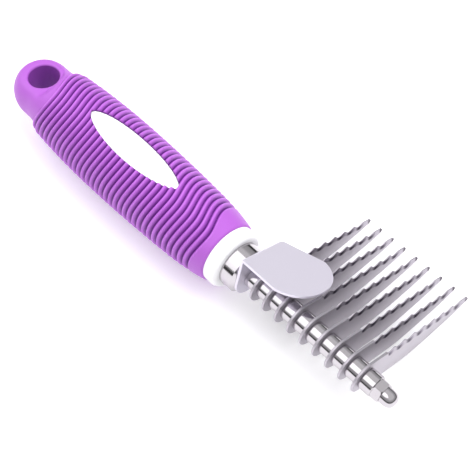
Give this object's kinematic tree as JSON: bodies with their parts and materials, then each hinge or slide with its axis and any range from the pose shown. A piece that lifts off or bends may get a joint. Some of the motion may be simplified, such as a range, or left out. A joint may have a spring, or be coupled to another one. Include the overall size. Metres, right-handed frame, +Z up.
{
  "type": "undercoat rake",
  "caption": "Undercoat rake with a ribbed soft grip, a steel thumb rest and serrated curved blades stacked with spacers on a threaded rod under an acorn nut.",
  "frame": {"origin": "middle of the hang hole, on the axis of the rod", "axes": "+X along the rod towards the acorn nut, +Z up out of the hang hole with the tool lying on its handle and blades, +Y towards the blade tips"},
  "size_m": [0.1956, 0.0723, 0.0326],
  "materials": {
    "soft_grip": "satin",
    "core_plastic": "gloss",
    "brass": "satin",
    "chromed": "polished",
    "steel": "satin",
    "satin_steel": "satin"
  },
  "bodies": {
    "handle": {"grip": "soft_grip", "handle_core": "core_plastic", "rod_insert": "brass", "ferrule": "chromed", "threaded_rod": "steel"},
    "head": {"thumb_rest": "satin_steel", "spacer_1": "chromed", "spacer_2": "chromed", "spacer_3": "chromed", "spacer_4": "chromed", "spacer_5": "chromed", "spacer_6": "chromed", "spacer_7": "chromed", "spacer_8": "chromed", "spacer_9": "chromed", "blade_1": "satin_steel", "blade_2": "satin_steel", "blade_3": "satin_steel", "blade_4": "satin_steel", "blade_5": "satin_steel", "blade_6": "satin_steel", "blade_7": "satin_steel", "blade_8": "satin_steel", "blade_9": "satin_steel"},
    "end_spacer": {"spacer_10": "chromed"},
    "nut": {"acorn_nut": "chromed"}
  },
  "joints": [
    {"name": "head_swivel", "type": "hinge", "parent": "handle", "child": "head", "pos_m": [0.1168, 0, 0], "axis": [1, 0, 0], "continuous": true},
    {"name": "spacer_slide", "type": "slide", "parent": "handle", "child": "end_spacer", "axis": [1, 0, 0], "range_m": [0, 0.0035]},
    {"name": "nut_turn", "type": "hinge", "parent": "end_spacer", "child": "nut", "pos_m": [0.1739, 0, 0], "axis": [1, 0, 0], "range_deg": [0, 1805]}
  ],
  "couplings": [
    {"joint": "nut_turn", "follows": "spacer_slide", "rad_per_m": 8976}
  ]
}
